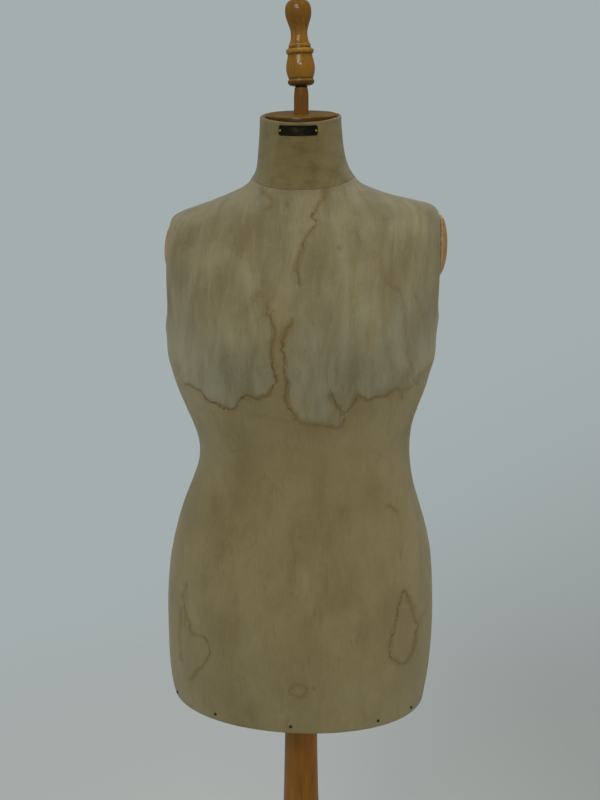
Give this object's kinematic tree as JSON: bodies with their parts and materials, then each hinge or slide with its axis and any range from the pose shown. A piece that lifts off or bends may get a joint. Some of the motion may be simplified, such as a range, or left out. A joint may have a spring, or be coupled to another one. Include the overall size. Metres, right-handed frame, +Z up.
{
  "type": "dress form",
  "caption": "Tailor's dress form: linen-covered torso with turned wooden finial, neck and arm discs, on a height-adjustable wooden column with a tripod base.",
  "frame": {"origin": "centre of the underside of the iron plate under the column, on the column's axis; the feet stand 78 mm lower", "axes": "+Z up along the column and rod; -Y is the chest, the way the form faces; +X is the form's own left"},
  "size_m": [0.512, 0.4444, 1.6606],
  "materials": {
    "papier_mache": "matt brown paper layers, unseen behind the cover",
    "linen": "aged natural linen, tea-brown with darker tide lines, plain weave",
    "varnished_wood": "honey-brown shellac over beech, worn on the edges",
    "inner_wood": "bare softwood",
    "rod_finish": "reddish-brown varnished hardwood rod",
    "black_plate": "blackened brass, blank",
    "brass": "dull aged brass",
    "leather": "dark brown leather",
    "steel": "dull darkened steel"
  },
  "bodies": {
    "stand": {"column": "varnished_wood", "column_ferrule": "brass", "spider_plate": "steel", "leg_1": "varnished_wood", "leg_2": "varnished_wood", "leg_3": "varnished_wood", "leg_bolt_1": "steel", "leg_bolt_2": "steel", "leg_bolt_3": "steel", "spider_screw_1": "steel", "spider_screw_2": "steel", "spider_screw_3": "steel", "foot_glide_1": "steel", "foot_glide_2": "steel", "foot_glide_3": "steel"},
    "rod": {"rod": "rod_finish", "support_collar": "brass", "collar_pin": "steel"},
    "torso": {"front_shell": "papier_mache", "back_shell": "papier_mache", "front_cover": "linen", "back_cover_left": "linen", "back_cover_right": "linen", "neck_cover": "linen", "neck_piping": "linen", "neck_cap": "varnished_wood", "neck_block": "inner_wood", "base_board": "inner_wood", "base_bush": "brass", "name_plate": "black_plate", "plate_pin_left": "brass", "plate_pin_right": "brass", "arm_cap_left": "varnished_wood", "arm_cap_right": "varnished_wood", "arm_block_left": "inner_wood", "arm_block_right": "inner_wood", "arm_screw_left": "steel", "arm_screw_right": "steel", "base_screw_1": "steel", "base_screw_2": "steel", "base_screw_3": "steel", "base_screw_4": "steel", "hem_tack_1": "steel", "hem_tack_2": "steel", "hem_tack_3": "steel", "hem_tack_4": "steel", "hem_tack_5": "steel", "hem_tack_6": "steel", "hem_tack_7": "steel", "hem_tack_8": "steel"},
    "finial_washer": {"finial_washer": "leather"},
    "finial": {"finial": "varnished_wood"},
    "clamp_pad": {"clamp_pad": "brass"},
    "clamp_screw": {"clamp_screw": "brass"}
  },
  "joints": [
    {"name": "height_slide", "type": "slide", "parent": "stand", "child": "rod", "axis": [0, 0, 1], "range_m": [0, 0.22]},
    {"name": "torso_turn", "type": "hinge", "parent": "rod", "child": "torso", "pos_m": [0, 0, 0.67], "axis": [0, 0, 1], "continuous": true},
    {"name": "finial_rise", "type": "slide", "parent": "rod", "child": "finial_washer", "axis": [0, 0, 1], "range_m": [0, 0.024]},
    {"name": "finial_turn", "type": "hinge", "parent": "finial_washer", "child": "finial", "pos_m": [0, 0, 1.467], "axis": [0, 0, 1], "range_deg": [0, 2161]},
    {"name": "clamp_pad_slide", "type": "slide", "parent": "stand", "child": "clamp_pad", "axis": [0, 1, 0], "range_m": [0, 0.00375]},
    {"name": "clamp_turn", "type": "hinge", "parent": "clamp_pad", "child": "clamp_screw", "pos_m": [0, 0.03, 0.634], "axis": [0, 1, 0], "range_deg": [0, 1081]}
  ],
  "couplings": [
    {"joint": "finial_turn", "follows": "finial_rise", "rad_per_m": 1570.8},
    {"joint": "clamp_turn", "follows": "clamp_pad_slide", "rad_per_m": 5026.5}
  ]
}
